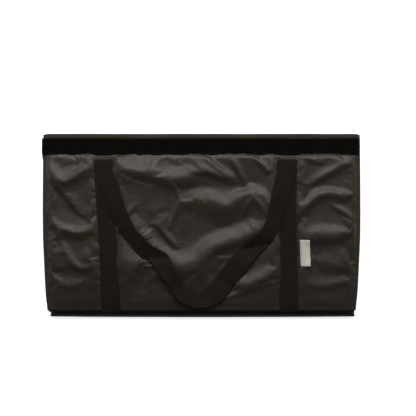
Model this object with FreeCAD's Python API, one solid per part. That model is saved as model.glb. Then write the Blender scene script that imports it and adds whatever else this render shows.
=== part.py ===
import FreeCAD, Part

import math
import os

# A foldable tote bag, folded flat and lying on its back. X runs across the bag, +Y points to the
# mouth, and Z is the thickness of the folded stack. The origin is the centre of the stack, on the
# surface that it lies on. Lengths are in millimetres.
#
# The stack is a mirror image about its middle: the front wall, the front half of the base and the
# front halves of the gussets lie above it, and the back ones below. A layer is given by its side
# (FRONT or BACK) and by its two distances from the middle.

FRONT, BACK = 1, -1
LEFT, RIGHT = -1, 1

# Outline of the flat bag.
flat_length = 290.5
mouth_half_width = 252.0
bottom_half_width = 245.0
rack = 6.5  # how much further the front wall reaches towards the mouth than the back wall
bag_depth = 160.0  # the width of a gusset, from its back seam to its front seam
half_depth = bag_depth / 2

# Layers, as distances from the middle of the stack.
gusset_tape_layer = (0.3, 1.1)
gusset_layer = (1.1, 2.1)
base_layer = (2.5, 4.5)
board_layer = (2.95, 4.05)
pocket_layer = (2.9, 4.1)
web_layer = (3.0, 4.0)
piping_layer = (0.9, 4.9)
wall_layer = (4.9, 6.1)
mouth_binding_layer = (4.3, 6.7)
tape_layer = (6.1, 7.1)
label_layer = (6.4, 7.0)
leg_layer = (6.1, 7.5)
tack_layer = (7.5, 7.8)
loop_layer = (8.2, 9.8)
seam_pivot = 1.6  # distance of the seam hinges from the middle, where the gusset cloth lies
middle_height = loop_layer[1]

# Seams and hinges.
bottom_seam_y = -136.0
side_seam_x = 241.0  # at the bottom seam; it moves out with the taper towards the mouth
leaf_clearance = 0.5
gusset_foot = 0.9
mitre_clearance = 2.0
sleeve_edge = 2.5  # the sewn edge of the sleeve, from its outline to the pocket
board_inset = 2.6
web_inset = 0.8  # from the side seam
web_gap = 0.4  # from the slanting end of the sleeve
web_foot = 3.0

# Trim.
webbing_width = 30.0
mouth_binding_width = 6.05
mouth_binding_cloth = 0.85
mouth_binding_inset = 1.0  # from the side edges of the wall
tape_gap = 0.2  # from the binding down to the tape
tape_width = 26.8
tape_half_length = 255.0
tape_wrap_thickness = 2.4
tape_wrap_depth = 0.9
side_piping_width = 3.0
side_piping_gap = 1.0
piping_foot_gap = 0.6
piping_top_gap = 0.4
piping_fillet = 0.9
bottom_piping_gap = 0.4
front_bottom_piping_width = 3.2
bottom_piping_half_length = 242.0
bottom_piping_fillet = 2.8
bottom_piping_end_radius = 4.0

# Handles.
handle_top = {FRONT: 104.6, BACK: 98.1}
leg_centres = {
    FRONT: ((-156.0, -143.0), (136.0, 139.0)),  # (at the top, at the bottom) of each leg
    BACK: ((-144.0, -144.0), (144.0, 144.0)),
}
front_loop_route = [
    (-156.0, 120.0), (-151.0, 73.0), (-143.0, 32.0), (-123.0, -8.0), (-80.0, -50.0),
    (-50.0, -84.0), (-24.0, -120.0), (13.0, -121.0), (46.0, -80.0), (80.0, -39.0),
    (108.0, -10.0), (120.0, 40.0), (136.0, 120.0),
]
back_loop_route = [
    (-144.0, 112.0), (-130.0, 24.0), (-88.0, -46.0), (-28.0, -108.0),
    (28.0, -108.0), (88.0, -46.0), (130.0, 24.0), (144.0, 112.0),
]
tack_length = 32.0
tack_inset = 3.0
tack_row = 1.2  # width of one row of its stitches

# Label, a folded tag caught under the edge of the right leg.
label_width, label_length = 15.6, 42.0
label_corner = (155.3, -66.0)

# Worked out from the above.
mouth_y = {FRONT: flat_length / 2, BACK: flat_length / 2 - rack}
wall_foot_y = {FRONT: rack - flat_length / 2, BACK: bottom_seam_y - bottom_piping_gap}
wall_length = flat_length - rack
taper = math.atan((mouth_half_width - bottom_half_width) / wall_length)
half_width_slope = math.tan(taper)


def half_width(y, side):
    """Half the width of a wall at height y."""
    foot = mouth_y[side] - wall_length
    return bottom_half_width + (y - foot) * half_width_slope


def layer(points, distances, side):
    """A flat layer of cloth, tape or board with this outline."""
    low, high = sorted(middle_height + side * d for d in distances)
    corners = [FreeCAD.Vector(x, y, low) for x, y in points]
    outline = Part.makePolygon(corners + corners[:1])
    return Part.Face(outline).extrude(FreeCAD.Vector(0, 0, high - low))


def rectangle(x0, y0, x1, y1):
    return [(x0, y0), (x1, y0), (x1, y1), (x0, y1)]


def both_hands(shape):
    """(left shape, right shape) from the left one."""
    return shape, shape.mirror(FreeCAD.Vector(0, 0, 0), FreeCAD.Vector(1, 0, 0))


def save(name, shape):
    os.makedirs("parts", exist_ok=True)
    shape.exportStep(f"parts/{name}.step")
    print(f"{name}: {shape.Volume / 1000:.2f} cm3, {len(shape.Solids)} solids, valid {shape.isValid()}")


def wall(side):
    """One large wall of shell cloth, as wide at the mouth as the opening and narrower at the base."""
    foot, mouth = wall_foot_y[side], mouth_y[side] - mouth_binding_cloth
    wide, narrow = half_width(mouth, side), half_width(foot, side)
    return layer([(-narrow, foot), (narrow, foot), (wide, mouth), (-wide, mouth)], wall_layer, side)


def mouth_binding(side):
    """A strip of cloth folded over the top edge of the wall."""
    low, high = mouth_y[side] - mouth_binding_width, mouth_y[side]
    x = half_width(high, side) - mouth_binding_inset
    around = layer(rectangle(-x, low, x, high), mouth_binding_layer, side)
    inside = layer(rectangle(-2 * x, low - 1, 2 * x, high - mouth_binding_cloth), wall_layer, side)
    return around.cut(inside)


def mouth_tape(side):
    """The wide tape sewn round the outside of the mouth, with ends that turn down over the side seams."""
    high = mouth_y[side] - mouth_binding_width - tape_gap
    low = high - tape_width
    flat = layer(rectangle(-tape_half_length, low, tape_half_length, high), tape_layer, side)
    wrap_from = tape_half_length - tape_wrap_thickness
    wrap = layer(
        rectangle(-tape_half_length, low, -wrap_from, high), (tape_wrap_depth, tape_layer[0]), side
    )
    left_wrap, right_wrap = both_hands(wrap)
    return flat.fuse([left_wrap, right_wrap]).removeSplitter()


def side_piping(side):
    """The bound seam that joins the left edge of a wall to its gusset, along the tapered side."""
    outer = -side_seam_x - side_piping_gap - side_piping_width
    foot = bottom_seam_y + piping_foot_gap
    top = mouth_y[side] - mouth_binding_width - piping_top_gap
    bar = layer(rectangle(outer, foot, outer + side_piping_width, top), piping_layer, side)
    long_edges = [e for e in bar.Edges if abs(e.Length - (top - foot)) < 0.01]
    return follow_taper(bar.makeFillet(piping_fillet, long_edges))


def bottom_piping(side):
    """The bound seam along the foot of a wall. The back one is a thick roll that the folded bag lies on."""
    x = bottom_piping_half_length
    high = bottom_seam_y - bottom_piping_gap
    if side == FRONT:
        bar = layer(rectangle(-x, high - front_bottom_piping_width, x, high), piping_layer, side)
        long_edges = [e for e in bar.Edges if abs(e.Length - 2 * x) < 0.01]
        return bar.makeFillet(piping_fillet, long_edges)
    roll = layer(rectangle(-x, -flat_length / 2, x, high), (piping_layer[0], middle_height), side)
    foot_corners = [e for e in roll.Edges if e.BoundBox.ZLength > 1 and e.BoundBox.YMax < high - 1]
    roll = roll.makeFillet(bottom_piping_end_radius, foot_corners)
    outer = [e for e in roll.Edges if e.BoundBox.ZLength < 0.01 and e.BoundBox.YMin < high - 0.5]
    return roll.makeFillet(bottom_piping_fillet, outer)


def follow_taper(shape):
    """Turns a left-hand piece that was built along Y so that it follows the tapered side seam."""
    turned = shape.copy()
    pivot = FreeCAD.Vector(-side_seam_x, bottom_seam_y, 0)
    turned.rotate(pivot, FreeCAD.Vector(0, 0, 1), math.degrees(taper))
    return turned


def gusset_outline(low_at_seam, low_at_fold, high_at_seam, high_at_fold):
    """A strip of the left gusset from the side seam in to the middle fold."""
    near, far = -side_seam_x + leaf_clearance, -side_seam_x + half_depth - leaf_clearance
    return [(near, low_at_seam), (far, low_at_fold), (far, high_at_fold), (near, high_at_seam)]


def gusset_half(side):
    """Half of the left gusset, which folds in between the walls."""
    foot = bottom_seam_y + gusset_foot
    rise = side * rack / 2
    top = mouth_y[side]
    return follow_taper(layer(gusset_outline(foot, foot, top, top - rise), gusset_layer, side))


def gusset_tape(side):
    """The piece of mouth tape on one gusset half. It slopes, because one wall reaches further than the other."""
    high = mouth_y[side] - mouth_binding_width - tape_gap
    low = high - tape_width
    rise = side * rack / 2
    outline = gusset_outline(low, low - rise, high, high - rise)
    near = -side_seam_x + 2 * leaf_clearance
    outline = [(max(x, near), y) for x, y in outline]
    return follow_taper(layer(outline, gusset_tape_layer, side))


def base_outline(inset):
    """Half of the base, with ends cut at 45 degrees to clear the gussets as the bag folds."""
    low = bottom_seam_y + leaf_clearance + inset
    high = bottom_seam_y + half_depth - leaf_clearance - inset
    end_at_low = side_seam_x - mitre_clearance - (low - bottom_seam_y) - inset
    end_at_high = side_seam_x - mitre_clearance - (high - bottom_seam_y) - inset
    return [(-end_at_low, low), (end_at_low, low), (end_at_high, high), (-end_at_high, high)]


def base_half(side):
    """A sleeve of cloth for the base board, open at its two slanting ends."""
    sleeve = layer(base_outline(0), base_layer, side)
    low, high = bottom_seam_y + sleeve_edge, bottom_seam_y + half_depth - sleeve_edge
    pocket = layer(rectangle(-side_seam_x, low, side_seam_x, high), pocket_layer, side)
    return sleeve.cut(pocket)


def base_board(side):
    """The stiff board in one half of the base."""
    return layer(base_outline(board_inset), board_layer, side)


def base_web(side):
    """The soft corner of the base cloth beyond the left end of the board, which crumples as the bag folds."""
    low = bottom_seam_y + web_foot
    high = bottom_seam_y + half_depth - leaf_clearance
    seam = -side_seam_x + web_inset
    inner = -side_seam_x + mitre_clearance - web_gap
    corners = [
        (seam, low),
        (inner + low - bottom_seam_y, low),
        (inner + high - bottom_seam_y, high),
        (seam - (high - bottom_seam_y) * half_width_slope, high),
    ]
    return layer(corners, web_layer, side)


def handle_leg(side, hand):
    """The sewn-down length of webbing from the bottom seam up to where the handle leaves the wall."""
    top_x, foot_x = leg_centres[side][0 if hand == LEFT else 1]
    top, foot = handle_top[side], wall_foot_y[side]
    half = webbing_width / 2
    outline = [(foot_x - half, foot), (foot_x + half, foot), (top_x + half, top), (top_x - half, top)]
    return layer(outline, leg_layer, side)


def handle_tacks(side):
    """The crossed box of stitching at the top of each leg, one solid for each leg."""
    tacks = []
    for top_x, _ in leg_centres[side]:
        half = webbing_width / 2 - tack_inset
        high = handle_top[side] - tack_inset
        low = high - tack_length
        box = layer(rectangle(top_x - half, low, top_x + half, high), tack_layer, side)
        inner = rectangle(top_x - half + tack_row, low + tack_row, top_x + half - tack_row, high - tack_row)
        frame = box.cut(layer(inner, tack_layer, side))
        rows = []
        for x_from, x_to in ((top_x - half, top_x + half), (top_x + half, top_x - half)):
            width = tack_row if x_to > x_from else -tack_row
            rows.append(
                layer([(x_from, low), (x_from + width, low), (x_to, high), (x_to - width, high)], tack_layer, side)
            )
        tacks.append(frame.fuse(rows).removeSplitter())
    return Part.makeCompound(tacks)


def handle_loop(side, route):
    """The free length of webbing, folded down over the wall, with rounded roots on the hinge line."""
    line = Part.makePolygon([FreeCAD.Vector(x, y, 0) for x, y in route])
    outline = line.makeOffset2D(webbing_width / 2, join=0, fill=False, openResult=False)
    low, high = sorted(middle_height + side * d for d in loop_layer)
    thickness = high - low
    ribbon = Part.Face(outline).extrude(FreeCAD.Vector(0, 0, thickness))
    ribbon.translate(FreeCAD.Vector(0, 0, low))
    hinge_y = handle_top[side]
    corner = FreeCAD.Vector(-tape_half_length, hinge_y, low - thickness)
    ribbon = ribbon.cut(Part.makeBox(2 * tape_half_length, flat_length, 3 * thickness, corner))
    for top_x, _ in leg_centres[side]:
        start = FreeCAD.Vector(top_x - webbing_width / 2, hinge_y, low + thickness / 2)
        root = Part.makeCylinder(thickness / 2, webbing_width, start, FreeCAD.Vector(1, 0, 0))
        ribbon = ribbon.fuse(root)
    return ribbon.removeSplitter()


def label():
    """A woven tag, folded once and sewn along its left edge."""
    x, y = label_corner
    return layer(rectangle(x, y, x + label_width, y + label_length), label_layer, FRONT)


for side, word in ((FRONT, "front"), (BACK, "back")):
    save(f"{word}_panel", wall(side))
    save(f"{word}_mouth_binding", mouth_binding(side))
    save(f"{word}_mouth_tape", mouth_tape(side))
    save(f"{word}_bottom_piping", bottom_piping(side))
    save(f"{word}_handle_bartacks", handle_tacks(side))
    save(f"{word}_handle_loop", handle_loop(side, front_loop_route if side == FRONT else back_loop_route))
    save(f"{word}_base_sleeve", base_half(side))
    save(f"{word}_base_board", base_board(side))
    handed = {
        "side_piping": both_hands(side_piping(side)),
        "handle_leg": (handle_leg(side, LEFT), handle_leg(side, RIGHT)),
        "gusset": both_hands(gusset_half(side)),
        "gusset_tape": both_hands(gusset_tape(side)),
        "base_web": both_hands(base_web(side)),
    }
    for piece, shapes in handed.items():
        for hand, shape in zip(("left", "right"), shapes):
            save(f"{word}_{hand}_{piece}", shape)
save("side_label", label())

print(f"side seam axis leans {math.degrees(taper):.4f} degrees; seam hinges are {seam_pivot} mm from the middle")
print(f"middle of the stack is {middle_height} mm up; fold hinges are {half_depth} mm in from the seams")
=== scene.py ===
import math

import bmesh
import bpy
import numpy as np
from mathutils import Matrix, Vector
from mathutils.bvhtree import BVHTree


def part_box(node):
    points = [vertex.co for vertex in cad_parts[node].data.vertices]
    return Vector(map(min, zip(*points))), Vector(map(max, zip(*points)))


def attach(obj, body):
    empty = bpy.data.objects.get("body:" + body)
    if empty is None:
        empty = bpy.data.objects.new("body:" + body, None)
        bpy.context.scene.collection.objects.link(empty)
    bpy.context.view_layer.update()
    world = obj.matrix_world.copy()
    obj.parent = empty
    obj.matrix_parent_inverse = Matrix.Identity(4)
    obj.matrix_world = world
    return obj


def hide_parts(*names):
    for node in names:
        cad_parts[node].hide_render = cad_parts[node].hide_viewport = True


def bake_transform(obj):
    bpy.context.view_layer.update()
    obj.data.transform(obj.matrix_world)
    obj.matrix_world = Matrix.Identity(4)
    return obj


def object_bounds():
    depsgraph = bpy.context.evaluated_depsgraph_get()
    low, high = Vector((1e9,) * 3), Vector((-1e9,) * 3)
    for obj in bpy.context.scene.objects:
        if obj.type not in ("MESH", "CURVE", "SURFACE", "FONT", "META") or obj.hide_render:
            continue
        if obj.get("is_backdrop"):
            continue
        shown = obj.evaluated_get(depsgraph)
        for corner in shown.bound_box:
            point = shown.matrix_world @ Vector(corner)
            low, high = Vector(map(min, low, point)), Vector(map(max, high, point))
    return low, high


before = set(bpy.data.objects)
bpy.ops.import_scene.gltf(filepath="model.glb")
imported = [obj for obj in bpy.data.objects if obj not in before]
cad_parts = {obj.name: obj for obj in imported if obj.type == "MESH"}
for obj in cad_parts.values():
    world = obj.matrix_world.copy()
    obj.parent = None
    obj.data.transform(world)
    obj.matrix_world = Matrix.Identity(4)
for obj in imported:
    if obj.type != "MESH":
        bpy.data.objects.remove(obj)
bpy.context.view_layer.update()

# ---- Floor, light and camera -----------------------------------------------------------------
# The folded bag lies on its back on a white table. A long soft lamp stands beyond the mouth, so
# the cloth shines where it tilts that way. A weak lamp on each side lifts the shadows.
view_width = 0.6640
view_centre = (0.0102, 0.0275)
camera_height = 2.2
film_width = 36.0

camera_data = bpy.data.cameras.new("camera")
camera_data.sensor_width = film_width
camera_data.lens = film_width * camera_height / view_width
camera = bpy.data.objects.new("camera", camera_data)
camera.location = (*view_centre, camera_height)
bpy.context.scene.collection.objects.link(camera)
bpy.context.scene.camera = camera
bpy.context.scene.view_settings.view_transform = "Standard"


def node_material(name):
    """A new node material, its shader, and short ways to add a node and to join two sockets."""
    material = bpy.data.materials.new(name)
    material.use_nodes = True
    tree = material.node_tree
    shader = tree.nodes["Principled BSDF"]

    def add(kind, **settings):
        node = tree.nodes.new(kind)
        for key, value in settings.items():
            if hasattr(node, key):
                setattr(node, key, value)
            else:
                node.inputs[key.replace("_", " ")].default_value = value
        return node

    def join(output, socket):
        tree.links.new(output, socket)

    return material, shader, add, join


def shade(shader, **values):
    """Sets plain values on a shader's sockets."""
    for key, value in values.items():
        shader.inputs[key.replace("_", " ")].default_value = value


def mesh_piece(name, vertices, faces, material):
    """A smooth-shaded piece of this mesh, its vertices given in metres in the bag's own frame."""
    mesh = bpy.data.meshes.new(name)
    mesh.from_pydata([tuple(v) for v in vertices], [], [tuple(f) for f in faces])
    mesh.update()
    mesh.materials.append(material)
    mesh.polygons.foreach_set("use_smooth", np.ones(len(mesh.polygons), bool))
    piece = bpy.data.objects.new(name, mesh)
    bpy.context.scene.collection.objects.link(piece)
    return piece


table_white, table_shader, add, join = node_material("table_white")
shade(
    table_shader, Base_Color=(0.93, 0.93, 0.935, 1), Roughness=0.85, Specular_IOR_Level=0.1,
    Emission_Color=(1.0, 1.0, 1.0, 1), Emission_Strength=0.75
)
table_half = 4.0
table_corners = [(x * table_half, y * table_half, 0) for x, y in ((-1, -1), (1, -1), (1, 1), (-1, 1))]
table = mesh_piece("table", table_corners, [(0, 1, 2, 3)], table_white)
table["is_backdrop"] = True

world = bpy.data.worlds.new("studio")
world.use_nodes = True
shade(world.node_tree.nodes["Background"], Color=(0.94, 0.97, 1.0, 1), Strength=0.10)
bpy.context.scene.world = world


def soft_lamp(name, place, size, power):
    """A soft rectangular lamp, slightly warm, that faces the bag."""
    lamp = bpy.data.lights.new(name, "AREA")
    lamp.shape = "RECTANGLE"
    lamp.size, lamp.size_y = size
    lamp.energy = power
    lamp.color = (1.0, 0.955, 0.885)
    holder = bpy.data.objects.new(name, lamp)
    holder.location = place
    holder.rotation_euler = (-Vector(place)).to_track_quat("-Z", "Y").to_euler()
    bpy.context.scene.collection.objects.link(holder)


soft_lamp("lamp_beyond_mouth", (0.0, 1.10, 1.40), (2.2, 0.6), 36.0)
soft_lamp("lamp_left", (-1.9, 0.5, 1.0), (0.8, 1.2), 4.5)
soft_lamp("lamp_right", (1.9, 0.5, 1.0), (0.8, 1.2), 4.5)

# ---- Wall cloth ------------------------------------------------------------------------------
# Coated brown nylon, thin and rather shiny. Each wall is one piece, cut about 504 by 284 mm and
# sewn in on all four sides and under the handle legs. It is cut a little full, so it stands up
# in soft folds between those seams. The back wall lies on the table, pressed nearly flat.
outward = {"front": 1, "back": -1}
wall_box = {side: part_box(f"{side}_panel") for side in ("front", "back")}
middle = (wall_box["front"][0].z + wall_box["back"][1].z) / 2
wall_mid = wall_box["front"][0].z - middle + 0.0005
wall_thickness = 0.0007
wall_foot = -0.1352
wall_half = 0.2526
front_rise, back_rise = 0.0105, 0.0021     # how far the folds may stand above each wall's middle
wall_mouth = wall_box["front"][1].y - 0.0008


def texture(add, join, kind, place, **settings):
    """The grey value of one texture laid over these coordinates."""
    node = add(f"ShaderNodeTex{kind}", **settings)
    join(place, node.inputs["Vector"])
    return node.outputs["Fac"]


def mixed(add, join, first, second, share):
    """Two grey values mixed, with this share of the second one."""
    mix = add("ShaderNodeMix", data_type="FLOAT")
    mix.inputs[0].default_value = share
    join(first, mix.inputs[2])
    join(second, mix.inputs[3])
    return mix.outputs[0]


def colour_ramp(add, join, value, dark, light, start=0.0, end=1.0):
    """A colour that goes from dark to light as the value goes from start to end."""
    ramp = add("ShaderNodeValToRGB")
    for element, position, colour in zip(ramp.color_ramp.elements, (start, end), (dark, light)):
        element.position = position
        element.color = (*colour, 1)
    join(value, ramp.inputs["Fac"])
    return ramp.outputs["Color"]


def bumps(add, join, shader, *layers):
    """Fine relief from layers of (height, strength, distance), each laid over the one before."""
    normal = None
    for height, strength, distance in layers:
        bump = add("ShaderNodeBump", Strength=strength, Distance=distance)
        join(height, bump.inputs["Height"])
        if normal:
            join(normal, bump.inputs["Normal"])
        normal = bump.outputs["Normal"]
    join(normal, shader.inputs["Normal"])


def coated_nylon(name, dark, light, grey, gloss=0.42):
    """Nylon with a soft coating: thread streaks, a fine weave, greyer patches and a crumpled sheen."""
    material, shader, add, join = node_material(name)
    place = add("ShaderNodeTexCoord").outputs["Object"]
    stretch = add("ShaderNodeMapping")
    stretch.inputs["Scale"].default_value = (520, 34, 300)
    join(place, stretch.inputs["Vector"])
    streaks = texture(add, join, "Noise", stretch.outputs["Vector"], Scale=1.0, Detail=3.0, Roughness=0.6)
    drift = texture(add, join, "Noise", place, Scale=16.0, Detail=3.0, Roughness=0.55)
    brown = colour_ramp(add, join, mixed(add, join, streaks, drift, 0.45), dark, light, 0.3, 0.72)
    patches = texture(add, join, "Noise", place, Scale=9.0, Detail=2.0, Roughness=0.5)
    greyer = add("ShaderNodeMapRange", From_Min=0.47, From_Max=0.72)
    join(patches, greyer.inputs["Value"])
    greyed = add("ShaderNodeMix", data_type="RGBA")
    join(greyer.outputs["Result"], greyed.inputs[0])
    join(brown, greyed.inputs[6])
    greyed.inputs[7].default_value = (*grey, 1)
    join(greyed.outputs[2], shader.inputs["Base Color"])
    wear = add("ShaderNodeMapRange", To_Min=0.39, To_Max=0.53)
    join(drift, wear.inputs["Value"])
    join(wear.outputs["Result"], shader.inputs["Roughness"])
    shade(shader, Specular_IOR_Level=gloss, Sheen_Weight=0.06, Sheen_Roughness=0.4)
    crumple = texture(add, join, "Noise", place, Scale=85.0, Detail=6.0, Roughness=0.66, Distortion=0.8)
    grain = texture(add, join, "Noise", place, Scale=330.0, Detail=3.0, Roughness=0.7, Distortion=0.5)
    weave = add("ShaderNodeMath", operation="MULTIPLY")
    for direction, socket in zip("XY", weave.inputs):
        threads = texture(add, join, "Wave", place, bands_direction=direction, Scale=330.0, Distortion=0.4)
        join(threads, socket)
    bumps(
        add, join, shader,
        (crumple, 0.5, 0.0014), (grain, 0.45, 0.00035), (weave.outputs["Value"], 0.25, 0.00012)
    )
    return material


wall_nylon = coated_nylon(
    "wall_nylon", (0.0095, 0.0060, 0.0034), (0.0225, 0.0142, 0.0078), (0.0120, 0.0100, 0.0088)
)


def wall_half_width(y):
    """Half the width of a sewn wall: straight at the mouth, drawn in towards the bottom seam."""
    heights = np.array([-135, -128, -112, -90, -56, -20, 20, 80, 145]) / 1000
    widths = np.array([243.0, 245.0, 247.0, 248.4, 250.0, 251.6, 252.0, 251.7, 251.0]) / 1000
    return np.interp(y, heights, widths)


def crest(x, y, points, height, rim_spread, foot_spread):
    """Height of one fold whose crest follows these points, given in millimetres. rim_spread is how
    far it falls away towards the mouth, and foot_spread towards the bottom seam."""
    route = np.array(points, float) / 1000
    share = np.linspace(0, 1, len(route))
    samples = 40
    fine = np.linspace(0, 1, samples)
    line = np.stack([np.interp(fine, share, route[:, k]) for k in (0, 1)], 1)
    for _ in range(6):
        line[1:-1] = (line[:-2] + 2 * line[1:-1] + line[2:]) / 4
    away = np.full(x.shape, 9.0)
    along = np.zeros(x.shape)
    above = np.zeros(x.shape)
    for k, (px, py) in enumerate(line):
        d = np.hypot(x - px, y - py)
        nearer = d < away
        away = np.where(nearer, d, away)
        along = np.where(nearer, k / (samples - 1), along)
        above = np.where(nearer, y - py, above)
    spread = np.where(above > 0, rim_spread, foot_spread) / 1000
    swell = np.sin(np.pi * np.clip(along * 0.9 + 0.05, 0, 1)) ** 0.5
    return height / 1000 * swell * np.exp(-((away / spread) ** 2))


front_folds = [
    # (crest points in mm, height, spread to the mouth, spread to the foot)
    ([(-247, 94), (-230, 75), (-217, 70), (-196, 80), (-174, 94)], 4.6, 10, 8),
    ([(-238, 72), (-222, 56), (-206, 35), (-193, 20), (-171, 4)], 2.0, 15, 3.2),
    ([(-245, 32), (-234, 5), (-222, -17)], 1.6, 4, 5),
    ([(-231, 2), (-215, -7), (-199, -12), (-180, -9), (-168, 1)], 4, 8, 8),
    ([(-225, -20), (-215, -42), (-203, -61), (-187, -68), (-168, -61)], 2, 7, 8),
    ([(-247, -68), (-231, -87), (-212, -96), (-190, -93), (-168, -74)], 0.4, 6, 12),
    ([(-139, 102), (-123, 91), (-101, 85), (-82, 78)], 6.0, 9, 16),
    ([(-136, 83), (-117, 72), (-95, 64), (-69, 59)], 1.4, 3, 20),
    ([(-82, 88), (-63, 78), (-41, 74), (-22, 77), (-7, 88)], 5.5, 13, 16),
    ([(-126, 15), (-115, 21), (-104, 32)], 1.6, 4, 4),
    ([(-56, 72), (-41, 59), (-34, 40), (-41, 18), (-50, 2)], 1.1, 3, 3),
    ([(-6, 85), (10, 88), (29, 78), (45, 75)], 4, 9, 6),
    ([(7, 107), (26, 91), (42, 78)], 2.5, 4, 4),
    ([(48, 107), (58, 88), (67, 69)], 3, 4, 4),
    ([(83, 107), (96, 97), (105, 85)], 2.4, 4, 4),
    ([(-9, 40), (17, 39), (39, 29), (58, 42), (77, 48), (96, 42), (109, 28)], 4.8, 11, 18),
    ([(80, 43), (71, 31), (64, 16)], 2, 4, 4),
    ([(83, 43), (93, 31), (102, 16)], 1.8, 4, 4),
    ([(-104, -11), (-88, -33), (-69, -50), (-47, -66), (-25, -68), (-6, -58), (10, -42), (26, -33),
      (51, -25), (77, -17), (102, -7)], 8.2, 16, 9),
    ([(-69, -1), (-53, -20), (-41, -34)], 2.5, 6, 3),
    ([(-58, -64), (-40, -73), (-20, -75), (-2, -67), (14, -50)], 4.5, 6, 24),
    ([(-142, -52), (-126, -58), (-107, -65), (-88, -74)], 4.6, 20, 30),
    ([(58, -93), (74, -95), (96, -85), (125, -65)], 4.6, 13, 9),
    ([(17, -125), (55, -109), (96, -96), (125, -87)], 1.2, 3, 4),
    ([(229, 101), (210, 88), (191, 77), (172, 66)], 3, 8, 6),
    ([(153, 21), (166, 31), (182, 45), (198, 50), (233, 47)], 4.6, 9, 8),
    ([(150, -17), (175, -19), (204, -20), (226, -12), (248, 5)], 5.4, 16, 10),
    ([(207, 31), (223, 21), (239, 12)], 2, 6, 3),
    ([(175, -58), (198, -61), (226, -58)], 1.3, 10, 14),
    ([(156, -90), (185, -96), (236, -90)], 0.7, 9, 9),
]
back_folds = [
    ([(-246, 84), (-214, 66), (-172, 78)], 1.6, 12, 9),
    ([(-240, 10), (-206, -8), (-168, -4)], 1.8, 12, 9),
    ([(-244, -70), (-208, -88), (-170, -78)], 1.5, 12, 9),
    ([(-124, 84), (-70, 70), (-10, 78), (60, 66), (126, 86)], 2.0, 14, 12),
    ([(-120, 20), (-64, 34), (0, 18), (52, 30), (122, 16)], 1.8, 12, 12),
    ([(-122, -34), (-60, -22), (10, -40), (124, -26)], 2.0, 12, 12),
    ([(-118, -92), (-40, -84), (40, -98), (120, -86)], 1.6, 12, 10),
    ([(170, 74), (206, 58), (244, 76)], 1.6, 12, 9),
    ([(168, -14), (204, -30), (246, -12)], 1.8, 12, 9),
    ([(172, -84), (210, -96), (246, -84)], 1.5, 12, 9),
]
# The run of the front handle's free loop in mm, from its left root to its right one: the middle of
# the webbing, its lean in degrees (above nought the inner edge stands up), how much of its width
# lies flat, and how far its cross lines are skewed where it buckles. The cloth is pressed under it.
front_loop = [
    (-155.6, 98, 0, 1, 0), (-153, 86, 0, 1, 0), (-147.5, 68.6, 3, 1, 0), (-141, 46.5, 8, 1, 0),
    (-133.3, 24.3, 11, 0.93, 0), (-125, 7.6, 11, 0.85, -4), (-114.5, -11.7, 11, 0.79, -12),
    (-104.5, -22, 11, 0.77, -22), (-91, -36, 8, 0.80, -36), (-80, -44, 3, 0.84, -44),
    (-70, -50.5, 0, 0.86, -48), (-62, -61, -4, 0.86, -40), (-53, -75, -9, 0.82, -24),
    (-44, -87, -11, 0.78, -12), (-36, -102, -11, 0.76, -4), (-25, -113, -11, 0.76, 0),
    (-9, -118, -10, 0.80, 0), (8, -116, -8, 0.90, 0), (24, -106, -4, 1, 0),
    (35, -90, -3, 1, 0), (45, -77.5, -3, 1, 4), (62, -57.5, -3, 1, 20), (74, -43, -1, 0.97, 38),
    (84.5, -32.5, 0, 0.90, 50), (95, -23, 5, 0.82, 40), (103.5, -14.5, 10, 0.80, 24),
    (111.4, -0.7, 11, 0.82, 8),
    (117.9, 18.6, 11, 0.87, 0), (124, 43.3, 8, 0.95, 0), (129.5, 65, 3, 1, 0), (133, 82, 0, 1, 0),
    (135, 98, 0, 1, 0),
]


def node_points(node):
    """The corner points of one CAD node."""
    return np.array([v.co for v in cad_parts[node].data.vertices])


leg_x = {}
for side in ("front", "back"):
    for hand in ("left", "right"):
        co = node_points(f"{side}_{hand}_handle_leg")
        top, foot = co[:, 1].max(), co[:, 1].min()
        top_x = co[co[:, 1] > top - 1e-5, 0].mean()
        foot_x = co[co[:, 1] < foot + 1e-5, 0].mean()
        leg_x[side, hand] = (top_x, foot_x, float(top), float(foot))


def leg_centre(side, hand, y):
    """Where the middle of a sewn-down handle leg is at height y."""
    top_x, foot_x, top, foot = leg_x[side, hand]
    return foot_x + (top_x - foot_x) * (y - foot) / (top - foot)


def grid_faces(rows, columns, flipped=False):
    """The four-sided faces of a grid of points given row by row."""
    index = np.arange(rows * columns).reshape(rows, columns)
    corners = [index[:-1, :-1], index[:-1, 1:], index[1:, 1:], index[1:, :-1]]
    if flipped:
        corners = [corners[k] for k in (0, 3, 2, 1)]
    return np.stack(corners, 2).reshape(-1, 4)


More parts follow.
